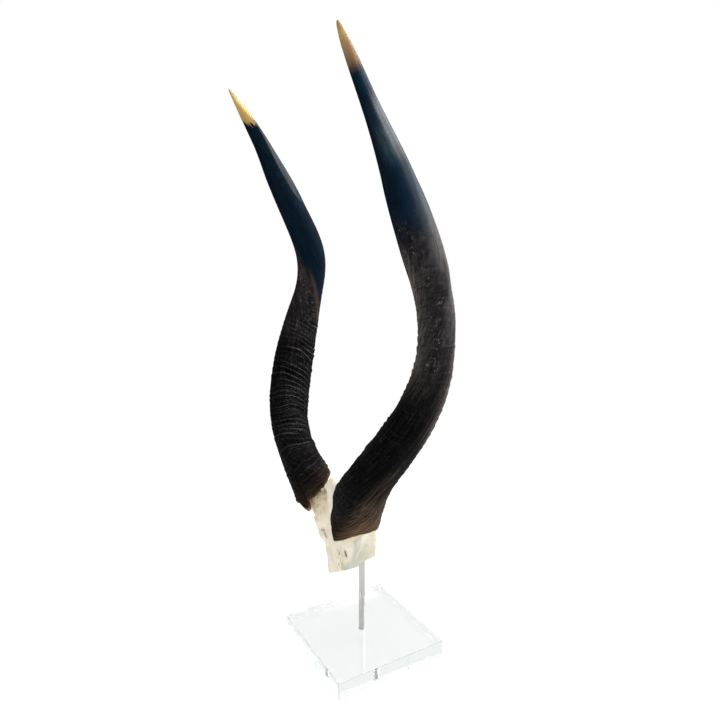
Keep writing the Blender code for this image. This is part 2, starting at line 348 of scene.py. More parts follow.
def ring_relief(start, turn, angle, straight, seed):
    """Height of the growth rings, and painted highlight lines along the upper edges of their crests.

    The phase along the horn is pushed to and fro by soft noise, so that rings wander and crowd, and it is
    ahead near the front keel, where the rings sag. Each ring rises slowly and drops at its upper edge, as
    one layer of horn ends on the next. A second, finer set has a third of the spacing. Noise that is long
    round the horn and short along it makes some rings strong and others faint. The rings are low on the
    outer face and gone above the middle, and their crests are fainter near the mouth.
    """
    wander = 0.8 * rough(straight, (30, 30, 34), seed) + 0.14 * rough(straight, (10, 10, 16), seed + 1)
    phase = start * RINGS / RINGS_END - 0.5 + wander + 1.5 * hump(turn - radians(10), 2.5)
    step = phase % 1.0
    main = step**1.6 * (1 - ease(step, 0.78, 1.0))
    part = (FINE_RINGS * phase + 0.5 * rough(straight, (14, 14, 9), seed + 2)) % 1.0
    fine = part**1.3 * (1 - ease(part, 0.7, 1.0))
    fade = 1 - ease(start, 0.36, 0.62)
    inwards = 0.5 - 0.5 * np.cos(angle - radians(RINGS_LOW))
    face = 0.22 + 0.78 * inwards**1.4
    kept = np.clip(0.60 + 1.1 * rough(straight, (45, 45, 8), seed + 3), 0.10, 1.3)
    kept_fine = np.clip(0.45 + 1.0 * rough(straight, (24, 24, 5), seed + 8), 0.0, 1.2)
    lift = fade * face * (RING_HEIGHT * kept * main + FINE_HEIGHT * kept_fine * fine)
    # Painted highlight: a pale line along the upper edge of each ring, where light from above catches it,
    # and fainter ones on the fine rings. It is shown most on the inner face and less near the mouth.
    edge = kept * band(step, 0.70, 0.84, 0.92, 1.0)
    line = np.maximum(edge, 0.6 * kept_fine * ease(part, 0.6, 0.8))
    shown = 0.05 + 0.95 * inwards**2.5
    shown = shown * (0.35 + 0.65 * ease(start, 0.05, 0.12))
    return lift - RING_BED * fade * face, fade * shown * line


def rim_layers(start, straight, seed):
    """Thin layers that end one behind the other along the rim: a saw tooth of the distance from the rim.

    Gives their height, a painted shadow line under the step of each layer, and how near the rim is.
    """
    above = start * HORN_LENGTH
    layer = (above / LAYER_SPACING + 0.5 * rough(straight, (30, 30, 20), seed + 10)) % 1.0
    kept = np.clip(0.8 + rough(straight, (18, 18, 4), seed + 13), 0.2, 1.4)
    zone = 1 - ease(above, 12, 28)
    height = kept * layer**1.3 * (1 - ease(layer, 0.75, 1.0)) * zone
    # Painted shadow where each layer drops to the next
    gap = np.minimum(kept, 1) * (1 - ease(np.minimum(layer, 1 - layer), 0.06, 0.18))
    return height, gap * zone, zone


def bare_fibre(start, angle, inner, straight, seed):
    """How brown and bare the skin is.

    A strip runs up the outer back face, and one of strength inner up the inner front face. A fan opens at
    the mouth, most on the outer side, and the foot is a little brown all round.
    """
    strip = 0.95 * hump(angle - radians(STRIP_SIDE), 7) * band(start, 0.22, 0.36, 0.56, 0.70)
    faint = inner * hump(angle - radians(FAINT_SIDE), 3) * band(start, 0.33, 0.42, 0.58, 0.66)
    outer = ease(np.cos(angle - radians(FAN_SIDE)), -0.65, 0.95)
    reach = (0.05 + 0.15 * outer**1.7) * (1 + 0.5 * rough(straight, (9, 9, 40), seed + 14))
    fan = 0.85 * outer**0.6 * (1 - ease(start, 0, 1.55 * reach))
    foot = 0.16 * (1 - ease(start, 0.0, 0.035))
    return np.maximum.reduce([strip, faint, fan, foot])


def worn_smooth(share, turn, starts, straight, seed):
    """0 on the ringed horn and 1 where it is worn smooth, with a border that wavers and is drawn out."""
    border = share - round_table(starts, np.degrees(turn) % 360)
    border = border + 0.020 * rough(straight, (14, 14, 30), seed + 11)
    border = border + 0.010 * rough(straight, (3, 3, 24), seed + 12)
    return ease(border, -0.05, 0.05)


def facet_gloss(share, angle):
    """Gloss of the rubbed facet, which runs from the outer side round to the reach that FACET gives."""
    direction = np.degrees(angle) % 360
    reach = np.interp(share, *np.array(FACET).T)
    across = ease(reach - direction, 0, 10) * ease(direction, 50, 90)
    strength = 0.25 + 0.30 * ease(share, 0.76, 0.86)
    return across * strength * band(share, 0.694, 0.72, 0.90, 0.95)


def polish(share, angle):
    """How glossy the skin is: dull on the rings and rubbed above them, most on the outer side.

    The flank and the facet near the top are rubbed more, and so is the outer back of the foot.
    """
    facing = 0.02 + 0.98 * ease(np.cos(angle - radians(RUBBED_SIDE)), 0.2, 0.95)
    rubbed = 0.005 + 0.22 * ease(share, 0.30, 0.46) * facing
    flank = 0.75 * hump(angle - radians(FLANK_SIDE), 5) * band(share, 0.76, 0.82, 0.86, 0.90)
    foot = 0.25 * hump(angle - radians(FOOT_SIDE), 6) * (1 - ease(share, 0.05, 0.13))
    return rubbed + flank + foot + facet_gloss(share, angle)


def painted_sheen_patch(share, angle):
    """A painted sheen: a paler patch on the upper flank that stands in for a broad highlight there."""
    return hump(angle - radians(PAINTED_SHEEN_SIDE), 7) * band(share, 0.765, 0.80, 0.825, 0.85)


def horn_grid(rim, seed):
    """Place of each point before the rim is torn, its share of the length and its direction.

    Rows run from the bottom of the cup to its rim, over its edge and up the skin. The torn rim shifts them
    along the horn, less and less up to RIM_REACH. Columns follow the keels.
    """
    close = np.linspace(0, CLOSE_ROWS_END, RINGED_ROWS, endpoint=False)
    wide = np.linspace(CLOSE_ROWS_END, 1, SMOOTH_ROWS)
    cup = np.concatenate([np.linspace(1, 0, CUP_ROWS), np.zeros(EDGE_ROWS)]) * CUP_DEPTH / HORN_LENGTH
    angle = twist_at(np.zeros(1)) + np.linspace(0, 2 * np.pi, COLUMNS, endpoint=False)
    start, angle = np.meshgrid(np.concatenate([cup, close, wide]), angle, indexing="ij")
    mouth = RADIUS[0][1]
    on_mouth = np.stack([mouth * np.cos(angle), mouth * np.sin(angle), np.zeros_like(angle)], -1)
    tear = 0.9 * rough(on_mouth, (6, 6, 6), seed + 5) + 0.5 * rough(on_mouth, (2.2, 2.2, 2.2), seed + 6)
    shift = (round_table(rim, np.degrees(angle)) + tear) / HORN_LENGTH
    share = start + shift * np.clip(1 - start / RIM_REACH, 0, 1)
    return start, share, angle + twist_at(share) - twist_at(np.zeros(1))


def pulled_straight(share, turn, radius):
    """Places on the horn as if it were straight and untwisted, with a grain that leans near the mouth."""
    lean = turn + radians(GRAIN_LEAN) * np.clip(1 - share / LEAN_REACH, 0, None) ** 2
    return np.stack([radius * np.cos(lean), radius * np.sin(lean), share * HORN_LENGTH], -1)


def skin_relief(start, share, angle, turn, straight, seed):
    """Height of the skin, with painted highlight lines on the crests of its rings, and the layers of the
    rim with the painted shadow under them and their zone.

    Rings and layers come with long low waves and with fibres. Inside the mouth the wall is softly rough.
    """
    lift, crest = ring_relief(start, turn, angle, straight, seed)
    lift = lift + 0.5 * rough(straight, (16, 16, 45), seed + 4) * (1 - ease(share, 0.5, 0.8))
    lift = lift + 0.3 * rough(straight, (2.6, 2.6, 22), seed + 9) * (1 - ease(share, 0.3, 0.62))
    layer, gap, zone = rim_layers(start, straight, seed)
    lift = lift + layer
    lift[:INNER_ROWS] = 0.35 * rough(straight[:INNER_ROWS], (6, 6, 14), seed + 7)
    return lift, crest, layer, gap, zone


def wall_of(rows):
    """How far each row lies inside the skin, and how far it bulges out of the mouth.

    The wall gets thicker towards the bottom of the cup, and its edge at the rim is rounded.
    """
    inset, bulge = np.zeros(rows), np.zeros(rows)
    edge = np.linspace(0, np.pi, EDGE_ROWS + 2)[1:-1]
    inset[:CUP_ROWS] = WALL * (1 + WALL_GROWTH * np.linspace(1, 0, CUP_ROWS) ** 4)
    inset[CUP_ROWS:INNER_ROWS] = WALL * (0.5 + 0.5 * np.cos(edge))
    bulge[CUP_ROWS:INNER_ROWS] = EDGE_BULGE * np.sin(edge)
    return inset[:, None], bulge[:, None]


def build_horn(name, side, rim, starts, inner_strip, tip_lean, seed):
    """A sheath: rows of points from inside its mouth, over the torn rim and up the skin to the tip."""
    start, share, angle = horn_grid(rim, seed)
    turn = angle - np.radians(smooth(TWIST, share)[..., 0])
    radius = horn_radius(share, angle)
    straight = pulled_straight(share, turn, radius)
    lift, crest, layer, gap, zone = skin_relief(start, share, angle, turn, straight, seed)
    inset, bulge = wall_of(len(share))
    share = share - bulge / HORN_LENGTH
    blunt = np.sqrt(1 - np.clip((share - TIP_ROUND) / (TIP_END - TIP_ROUND), 0, 1) ** 2)
    radius = radius * blunt + lift - inset
    centre, across, third = horn_frame(share)
    outwards = np.cos(angle)[..., None] * across + np.sin(angle)[..., None] * third
    points = (centre + radius[..., None] * outwards) * (side, 1, 1)
    outer = ease(np.cos(angle - radians(OUTER_SIDE)), -0.4, 0.9)
    hanging = ease(-share * HORN_LENGTH, 10, 15)
    # What the colours and the gloss go by
    fields = {
        "straight": straight,
        "share": share,
        "crest": crest,
        "bare": bare_fibre(start, angle, inner_strip, straight, seed),
        "layer": np.minimum(1.5 * layer, 1) * (0.04 + 0.96 * outer**1.4),
        "gap": gap,
        "zone": zone,
        "edge": (1 - ease(start * HORN_LENGTH, 0.6, 2.6)) * (0.12 + 0.88 * np.maximum(outer, hanging)),
        "worn": worn_smooth(share, turn, starts, straight, seed),
        "shine": polish(share, angle),
        "keel": hump(turn - radians(4), 120) * band(share, 0.42, 0.46, 0.54, 0.60),
        "outer": outer,
        # Painted sheen on the upper flank
        "haze": painted_sheen_patch(share, angle),
        "tip": share + tip_lean[0] * np.cos(angle - radians(tip_lean[1])),
        "inside": (np.arange(len(share)) < CUP_ROWS + 2)[:, None] * np.ones_like(share),
    }
    piece = wrap(name, points, fields)
    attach(piece, "root")
    return piece


def egg(points, centre, radii):
    """Distance to an ellipsoid, near enough close to it."""
    offset = points - np.array(centre, float)
    radii = np.array(radii, float)
    ratio = np.linalg.norm(offset / radii, axis=-1)
    return ratio * (ratio - 1) / np.maximum(np.linalg.norm(offset / radii**2, axis=-1), 1e-9)


def limb(points, start, end, start_radius, end_radius):
    """Distance to a round bar with round ends, whose radius changes along it."""
    start = np.array(start, float)
    along = np.array(end, float) - start
    share = np.clip((points - start) @ along / (along @ along), 0, 1)
    away = np.linalg.norm(points - start - share[..., None] * along, axis=-1)
    return away - start_radius - (end_radius - start_radius) * share


def slab(points, centre, half_sizes, corner):
    """Distance to a box with rounded edges."""
    away = np.abs(points - np.array(centre, float)) - (np.array(half_sizes, float) - corner)
    return np.linalg.norm(np.maximum(away, 0), axis=-1) + np.minimum(away.max(-1), 0) - corner


def outline_distance(across, up, corners):
    """Distance to a flat outline in the XZ plane, negative inside it: the nearest of its sides."""
    place = np.stack([across, up], -1)
    corners = np.array(corners, float)
    nearest = np.full(across.shape, np.inf)
    inside = np.full(across.shape, -1.0)
    for start, end in zip(corners, np.roll(corners, -1, axis=0)):
        along = end - start
        share = np.clip((place - start) @ along / (along @ along), 0, 1)
        nearest = np.minimum(nearest, np.linalg.norm(place - start - share[..., None] * along, axis=-1))
        spans = (start[1] > up) != (end[1] > up)
        left = across < start[0] + (up - start[1]) * along[0] / (along[1] if along[1] else 1.0)
        inside = np.where(spans & left, -inside, inside)
    return nearest * -inside


def tongue_distance(across, back, up):
    """Distance to the tongue of the frontal bones: an outline with a thickness and a rounded edge."""
    plate = outline_distance(across, up, TONGUE)
    depth = np.abs(back - TONGUE_PLANE) - TONGUE_HALF
    beyond = np.hypot(np.maximum(plate, 0), np.maximum(depth, 0))
    return beyond + np.minimum(np.maximum(plate, depth), 0) - TONGUE_EDGE


def bone_distance(points):
    """Distance to the bone: lumps blended by a soft minimum, with the two saw cuts taken off."""
    half = np.concatenate([np.abs(points[..., :1]), points[..., 1:]], axis=-1)
    x, y, z = points[..., 0], points[..., 1], points[..., 2]
    widening = FLARE * np.clip(z - FLARE_FOOT, 0, FLARE_HEIGHT) * ease(-y, 2, 26)
    flare = np.stack([half[..., 0] - widening, y - SIDE_BOW * half[..., 0], z], -1)
    braincase = egg(half, (0, -7, 162), (28, 25, 44))
    tongue = tongue_distance(x, flare[..., 1], z)
    walls = slab(flare, (0, -18.5, 156), (27, 21.5, 28), 3)
    forehead = egg(half, (0, -33, 186), (40, 11, 40))
    crest = limb(half, (0, -38, 205), (0, -39, 232), 9, 10)
    poll = limb(half, (0, -28, 212), (0, -8, 190), 14, 18)
    brows = limb(half, (33, -36, 153), (37, -36, 172), 8, 12)
    horn_cores = limb(half, (24, -33, 184), (50, -40, 208), 16, 20)
    lumps = np.stack([braincase, tongue, walls, forehead, crest, poll, brows, horn_cores])
    nearest = lumps.min(0)
    bone = nearest - SEAM_SOFTNESS * np.log(np.exp((nearest - lumps) / SEAM_SOFTNESS).sum(0))
    bone = bone + pits(points, half)
    front_cut = saw(FRONT_CUT, x) - z
    back_cut = np.minimum(saw(BACK_CUT, y) - z, y - CUT_FRONT)
    removed = np.maximum(front_cut, back_cut) + 0.25 * rough(points, (3, 3, 3), 35)
    return np.maximum(bone, removed)


def saw(cut, at):
    """Height of a saw cut, given as a height, the place where it has that height, and its rise per mm."""
    return cut[0] + cut[2] * (at - cut[1])


def nerve_holes(points):
    """Distance to the slit above the left eye, and to the pit and the dot above the right one."""
    slit = limb(points, (39.0, -46.2, 165.0), (37.7, -44.2, 157.2), 0.2, 0.8)
    pit = limb(points, (-22.8, -41.5, 159), (-19.8, -41.3, 155.2), 0.3, 0.6)
    dot = limb(points, (-25.6, -42.5, 163.6), (-25.4, -42.5, 162.4), 0.7, 0.7)
    return np.minimum(slit, np.minimum(pit, dot))


def pits(points, half):
    """Depth of the nerve holes, of the seam of the frontal bones and of a rough skin.

    The skin is roughest near the horn cores.
    """
    seam = np.abs(points[..., 0] - 1.2 * rough(points, (4, 4, 3), 31))
    seam = np.where(points[..., 1] > SEAM_BACK, np.inf, seam)
    depth = 1.8 * (1 - ease(nerve_holes(points), -0.5, 0.7)) + 0.45 * (1 - ease(seam, 0.2, 1.0))
    depth += 0.5 * rough(points, (7, 7, 7), 32) + 0.25 * rough(points, (2.6, 2.6, 2.6), 33)
    burr = 1 - ease(np.linalg.norm(half - MOUTH, axis=-1), 26, 42)
    return depth + burr * 0.5 * rough(points, (2.2, 2.2, 3.5), 34)


def skull_points():
    """Points on the bone: each is found by halving along a line from the middle of the skull."""
    rows, columns, furthest, halvings = 290, 310, 120.0, 18
    tilt = np.linspace(0, np.pi, rows + 2)[1:-1]
    turn = np.linspace(0, 2 * np.pi, columns, endpoint=False)
    tilt, turn = np.meshgrid(tilt, turn, indexing="ij")
    line = np.stack([np.sin(tilt) * np.cos(turn), np.sin(tilt) * np.sin(turn), np.cos(tilt)], -1)
    inside, outside = np.zeros_like(tilt), np.full_like(tilt, furthest)
    for _ in range(halvings):
        middle = (inside + outside) / 2
        in_bone = bone_distance(SKULL_CENTRE + middle[..., None] * line) < 0
        inside = np.where(in_bone, middle, inside)
        outside = np.where(in_bone, outside, middle)
    return SKULL_CENTRE + inside[..., None] * line


def build_skull():
    """The bone, with fields for the painted shade in its holes and for their surroundings, stains, specks
    and the grey side wall.
    """
    points = skull_points()
    across, back = points[..., 0], points[..., 1]
    hole = nerve_holes(points)
    right_mouth = np.linalg.norm(points - MOUTH * (-1, 1, 1), axis=-1)
    left_mouth = np.linalg.norm(points - MOUTH, axis=-1)
    speckled = limb(points, (9, -41, 130), (17, -41, 150), 1, 1)
    fields = {
        # Painted shade inside the nerve holes
        "pit": 1 - ease(hole, 0.0, 1.1),
        "halo": 1 - ease(hole, 0.5, 4),
        "stain": np.maximum(1 - ease(right_mouth, 26, 44), 0.5 * (1 - ease(left_mouth, 24, 34))),
        "spots": 1 - ease(speckled, 1, 10),
        "temple": ease(across, 17, 23) * band(back, -42, -37, -16, -4),
        "moss": 1 - ease(np.linalg.norm(points - np.array([21, -40, 132]), axis=-1), 3, 9),
    }
    piece = wrap("dry_skull_cap", points, fields)
    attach(piece, "root")
    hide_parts("skull_cap")
    return piece


def build_rod():
    """A turned bar: a profile with a domed foot and a rounded top edge, carried round the Z axis."""
    radius, foot, top, dome_height, rounding = 4.0, 13.5, 158.0, 2.4, 0.8
    arc = np.linspace(0.15, np.pi / 2, 10)
    low = np.stack([radius * np.sin(arc), foot + dome_height * (1 - np.cos(arc))], -1)
    body = np.stack([np.full(40, radius), np.linspace(foot + 3, top - 1, 40)], -1)
    edge = radius - rounding * (1 - np.cos(arc))
    high = np.stack([edge, top - rounding + rounding * np.sin(arc)], -1)
    profile = np.concatenate([low, body, high])
    turn = np.linspace(0, 2 * np.pi, 96, endpoint=False)
    across, height = profile[:, :1], np.repeat(profile[:, 1:], len(turn), axis=1)
    piece = wrap("satin_rod", np.stack([across * np.cos(turn), across * np.sin(turn), height], -1))
    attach(piece, "root")
    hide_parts("support_rod")
    return piece


def square_outline(half, corner, count):
    """Points round a square with rounded corners, as many on each side, and closer towards the corners."""
    arc = np.linspace(-np.pi / 4, np.pi / 4, 9)
    side = np.sin(np.linspace(-np.pi / 2, np.pi / 2, count))[1:-1] * (half - corner)
    across = np.concatenate([half - corner + corner * np.cos(arc), np.full(len(side), half)])
    along = np.concatenate([corner * np.sin(arc) - (half - corner), side])
    quarter = np.stack([across, along], -1)
    quarters = []
    for turn in np.arange(4) * np.pi / 2:
        cos, sin = np.cos(turn), np.sin(turn)
        quarters.append(quarter @ np.array([[cos, sin], [-sin, cos]]))
    return np.concatenate(quarters)


def build_block():
    """The cast block: rings from the floor of its socket, over the top and the edges, to the underside."""
    half, height, bevel, corner, mouth = 76.0, 22.0, 0.35, 0.4, 5.0
    # Radius and height of the socket, from its floor to its mouth
    socket = (
        (2.5, 13.0),
        (3.8, 13.3),
        (4.3, 14.0),
        (4.3, 18.0),
        (4.3, 21.6),
        (4.5, height),
        (mouth, height),
    )
    outline = square_outline(half, corner, 33)
    angle = np.arctan2(outline[:, 1], outline[:, 0])
    disc = np.stack([np.cos(angle), np.sin(angle)], -1)
    flat = outline * (half - bevel) / half
    rows = [(disc * radius, z) for radius, z in socket]
    for part in (0.05, 0.3, 0.6, 0.9, 0.99, 0.999):
        rows.append((disc * mouth * (1 - part) + flat * part, height))
    rounded = []
    for turn in np.linspace(0, np.pi / 2, 7):
        edge = outline * (half - bevel * (1 - np.sin(turn))) / half
        rounded.append((edge, bevel * (1 - np.cos(turn))))
    rows += [(edge, height - drop) for edge, drop in rounded]
    rows += [(outline, bevel + part * (height - 2 * bevel)) for part in (0.98, 0.5, 0.02)]
    rows += rounded[::-1]
    rows += [(flat * part, 0.0) for part in (0.999, 0.99, 0.5, 0.05)]
    rings = np.array([np.column_stack([edge, np.full(len(edge), z)]) for edge, z in rows])
    piece = wrap("clear_block", rings)
    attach(piece, "root")
    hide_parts("acrylic_base")
    return piece


def linear(colour):
    """A colour written as sRGB hex, turned into the linear values that shaders take."""
    parts = np.array([int(colour[i : i + 2], 16) for i in (1, 3, 5)]) / 255
    parts = np.where(parts <= 0.04045, parts / 12.92, ((parts + 0.055) / 1.055) ** 2.4)
    return (*parts.tolist(), 1.0)


def node(tree, kind, inputs=None, stops=None, output=None, **settings):
    """Adds one node and gives the output asked for, or else the first in use.

    Settings go on the node itself, values or links on its inputs, and colour stops on its ramp.
    """
    made = tree.nodes.new("ShaderNode" + kind)
    for key, value in settings.items():
        setattr(made, key, value)
    for key, value in (inputs or {}).items():
        if isinstance(value, bpy.types.NodeSocket):
            tree.links.new(value, made.inputs[key])
        else:
            made.inputs[key].default_value = linear(value) if isinstance(value, str) else value
    if stops:
        ramp = made.color_ramp
        ramp.elements[0].position, ramp.elements[0].color = stops[0][0], linear(stops[0][1])
        ramp.elements[1].position, ramp.elements[1].color = stops[-1][0], linear(stops[-1][1])
        for place, colour in stops[1:-1]:
            ramp.elements.new(place).color = linear(colour)
    return made.outputs[output] if output else next(socket for socket in made.outputs if socket.enabled)


def new_material(name):
    """A material, its node tree and its surface shader."""
    made = bpy.data.materials.new(name)
    made.use_nodes = True
    return made, made.node_tree, made.node_tree.nodes["Principled BSDF"]


def tinted(tree, colour, tints):
    """Lays colours over one another: each row says where, how much of it at most, and the colour."""
    for where, most, tint in tints:
        amount = node(tree, "Math", {0: where, 1: most}, operation="MULTIPLY")
        colour = node(tree, "Mix", {AMOUNT: amount, UNDER: colour, OVER: tint}, data_type="RGBA")
    return colour


def marked(tree, colour, marks):
    """Lays marks over a colour where a pattern is strong.

    Each row gives the pattern, the values where the mark starts and where it is full, the most of it, what
    else limits it, and its colour.
    """
    for pattern, start, full, most, limit, tint in marks:
        given = {"Value": pattern, "From Min": start, "From Max": full, "To Max": most}
        mask = node(tree, "MapRange", given)
        colour = tinted(tree, colour, [(mask, limit, tint)])
    return colour


def along_horn(tree, grain, field, dry_start):
    """Black at the foot and grey brown from dry_start on, with a border that clouds push to and fro."""
    place = node(tree, "Math", {0: grain["cloud"], 1: 0.14, 2: field["share"]}, operation="MULTIPLY_ADD")
    place = node(tree, "Math", {0: place, 1: dry_start - 0.23}, operation="SUBTRACT")
    stops = (
        (0.00, "#060505"),
        (0.10, "#030303"),
        (0.28, "#030304"),
        (0.36, "#0b0a0b"),
        (0.46, "#232123"),
        (0.56, "#333032"),
        (0.68, "#262227"),
    )
    return node(tree, "ValToRGB", {"Fac": place}, stops=stops)


def over_with_fibre(tree, colour, grain, field):
    """Lays bare fibre over a colour: strands that close up near the rim, brown there and greyer above."""
    strand = node(tree, "MapRange", {"Value": grain["fibre"], "From Min": 0.34, "From Max": 0.64})
    even = node(tree, "Math", {0: field["zone"], 1: 0.6}, operation="MULTIPLY")
    strand = node(tree, "Math", {0: strand, 1: even}, operation="MAXIMUM")
    up = node(tree, "MapRange", {"Value": field["share"], "From Min": 0.10, "From Max": 0.30})
    fibre = node(tree, "Mix", {AMOUNT: up, UNDER: "#6a5544", OVER: "#746b65"}, data_type="RGBA")
    return tinted(tree, colour, [(field["bare"], strand, fibre)])


def ringed_colour(tree, grain, field, dry_start):
    """Dry ringed horn: dust and grit, painted highlights on the crests, blotches, bare fibre, flakes,
    cracks, and the rim with a painted shadow under each layer.
    """
    dry = {"Value": field["share"], "From Min": dry_start, "From Max": dry_start + 0.12}
    dry = node(tree, "MapRange", dry)
    patch = {"Value": grain["cloud"], "From Min": 0.50, "From Max": 0.60, "To Max": dry}
    patch = node(tree, "MapRange", patch)
    skin = (
        (grain["fibre"], 0.53, 0.68, 0.35, 1.0, "#2e2b2b"),
        (grain["flake"], 0.56, 0.70, 0.40, 1.0, "#363433"),
        # Painted highlight lines on the ring crests
        (grain["flake"], 0.36, 0.60, 0.80, field["crest"], "#5f5d61"),
        (grain["blotch"], 0.44, 0.60, 0.85, dry, "#151419"),
        (grain["blotch"], 0.46, 0.36, 0.50, dry, "#413c3b"),
    )
    damage = (
        (grain["flake"], 0.57, 0.64, 0.90, patch, "#7c7a76"),
        (grain["crack"], 0.52, 0.62, 0.55, dry, "#0d0b0c"),
    )
    rim = (
        # A painted shadow under the step of each layer of the rim
        (field["gap"], 0.75, "#17110d"),
        (field["layer"], 1.0, "#7a6546"),
        (field["edge"], 1.0, "#8a7448"),
    )
    colour = marked(tree, along_horn(tree, grain, field, dry_start), skin)
    colour = over_with_fibre(tree, colour, grain, field)
    return tinted(tree, marked(tree, colour, damage), rim)


def smooth_colour(tree, grain, field):
    """Horn worn smooth: navy black, lighter on the outer face, with dark clouds, faint paler fibres and a
    painted sheen on the upper flank.
    """
    given = {AMOUNT: field["outer"], UNDER: "#06131f", OVER: "#0b2637"}
    colour = node(tree, "Mix", given, data_type="RGBA")
    marks = (
        (grain["cloud"], 0.35, 0.70, 0.5, 1.0, "#030d16"),
        (grain["fibre"], 0.45, 0.75, 0.4, 1.0, "#173040"),
        # Painted sheen: paler fibres on the upper flank, standing in for a highlight
        (grain["fibre"], 0.30, 0.60, 1.0, field["haze"], "#35474f"),
    )
    return marked(tree, colour, marks)


def pale_tip(tree, fibre, streak, tip, start, soft, jag, stops):
    """Where the tip is worn pale, above a ragged line across the fibres, and its colour to the point."""
    line = start + jag / 2
    ragged = node(tree, "Math", {0: fibre, 1: jag, 2: tip}, operation="MULTIPLY_ADD")
    given = {"Value": ragged, "From Min": line - soft, "From Max": line + soft}
    where = node(tree, "MapRange", given, interpolation_type="SMOOTHSTEP")
    along = node(tree, "MapRange", {"Value": tip, "From Min": start, "From Max": 1.0})
    given = {AMOUNT: 0.15, UNDER: node(tree, "ValToRGB", {"Fac": along}, stops=stops), OVER: streak}
    return where, node(tree, "Mix", given, data_type="RGBA", blend_type="MULTIPLY")


def horn_grain(tree):
    """Noise patterns drawn out along the horn, or round it, by name."""
    straight = node(tree, "Attribute", output="Vector", attribute_name="straight")
    # Fibres 1 mm wide and 28 mm long, clouds of 20 mm, flakes of 2 mm, cracks 2 mm high, blotches of 6 mm
    patterns = {
        "fibre": ((1, 1, 0.04), 0.9, 3.0, 0.6),
        "cloud": ((1, 1, 1), 0.05, 4.0, 0.6),
        "flake": ((1, 1, 0.7), 0.5, 4.0, 0.7),
        "crack": ((0.15, 0.15, 1), 0.45, 4.0, 0.65),
        "blotch": ((1, 1, 0.6), 0.16, 3.0, 0.6),
    }
    grain = {}
    for label, (stretch, scale, detail, roughness) in patterns.items():
        drawn = node(tree, "Mapping", {"Vector": straight, "Scale": stretch})
        given = {"Vector": drawn, "Scale": scale, "Detail": detail, "Roughness": roughness}
        grain[label] = node(tree, "TexNoise", given)
    return grain


def horn_bump(tree, grain, worn):
    """Fine relief of cracks, flakes and fibres, which is gone where the horn is worn smooth."""
    relief = node(tree, "Math", {0: grain["crack"], 1: 0.5, 2: grain["fibre"]}, operation="MULTIPLY_ADD")
    relief = node(tree, "Math", {0: grain["flake"], 1: 0.8, 2: relief}, operation="MULTIPLY_ADD")
    depth = node(tree, "MapRange", {"Value": worn, "To Min": 1.0, "To Max": 0.0})
    relief = node(tree, "Math", {0: relief, 1: depth}, operation="MULTIPLY")
    return node(tree, "Bump", {"Height": relief, "Strength": 0.8, "Distance": 0.4 * MM})


def horn_keratin(name, dry_start, tip_start, tip_soft, tip_jag, tip_stops):
    """Horn keratin: dry and ringed, rubbed to a soft gloss further up, and worn to pale horn at the tip."""
    made, tree, surface = new_material(name)
    grain = horn_grain(tree)
    labels = "share crest bare zone gap layer edge outer haze worn keel tip inside shine".split()
    field = {label: node(tree, "Attribute", output="Fac", attribute_name=label) for label in labels}
    given = {"Value": grain["fibre"], "From Min": 0.34, "From Max": 0.68, "To Min": 0.75, "To Max": 1.3}
    streak = node(tree, "MapRange", given)
    given = {AMOUNT: 1.0, UNDER: ringed_colour(tree, grain, field, dry_start), OVER: streak}
    ringed = node(tree, "Mix", given, data_type="RGBA", blend_type="MULTIPLY")
    pale = pale_tip(tree, grain["fibre"], streak, field["tip"], tip_start, tip_soft, tip_jag, tip_stops)
    tints = (
        (field["worn"], 1.0, smooth_colour(tree, grain, field)),
        (field["keel"], 1.0, "#3e332d"),
        (pale[0], 1.0, pale[1]),
        (field["inside"], 1.0, "#6a4524"),
    )
    tree.links.new(tinted(tree, ringed, tints), surface.inputs["Base Color"])
    surface.inputs["Roughness"].default_value = 0.65
    surface.inputs["IOR"].default_value = 1.06
    surface.inputs["Sheen Weight"].default_value = 0.02
    tree.links.new(field["shine"], surface.inputs["Coat Weight"])
    surface.inputs["Coat Roughness"].default_value = 0.45
    bump = horn_bump(tree, grain, field["worn"])
    tree.links.new(bump, surface.inputs["Normal"])
    tree.links.new(bump, surface.inputs["Coat Normal"])
    return made


def bone_colour(tree, cloud, spot, pore):
    """Cream in clouds, grey on the side wall, tan and specked where skin was, with pores, and with painted
    shade in the holes.
    """
    labels = "temple stain halo spots moss pit".split()
    field = {label: node(tree, "Attribute", output="Fac", attribute_name=label) for label in labels}
    cream = ((0.3, "#e2d7ba"), (0.45, "#eae1ca"), (0.6, "#f0e9d9"), (0.75, "#f3efe4"))
    marks = (
        (spot, 0.47, 0.60, 0.65, field["stain"], "#8a6430"),
        (spot, 0.30, 0.60, 0.70, field["halo"], "#a58a66"),
        (spot, 0.52, 0.62, 0.80, field["spots"], "#94713f"),
        (spot, 0.35, 0.60, 0.80, field["moss"], "#a89a50"),
    )
    given = {"Value": pore, "From Min": 0.10, "From Max": 0.30, "To Min": 0.30, "To Max": 0.0}
    open_pore = node(tree, "MapRange", given)
    colour = node(tree, "ValToRGB", {"Fac": cloud}, stops=cream)
    colour = tinted(tree, colour, [(field["temple"], 0.8, "#cbcaba"), (field["stain"], 0.4, "#dcc293")])
    colour = marked(tree, colour, marks)
    # Darker pores, and painted shade inside the nerve holes
    return tinted(tree, colour, [(open_pore, 1.0, "#9a7c50"), (field["pit"], 1.0, "#22150d")])


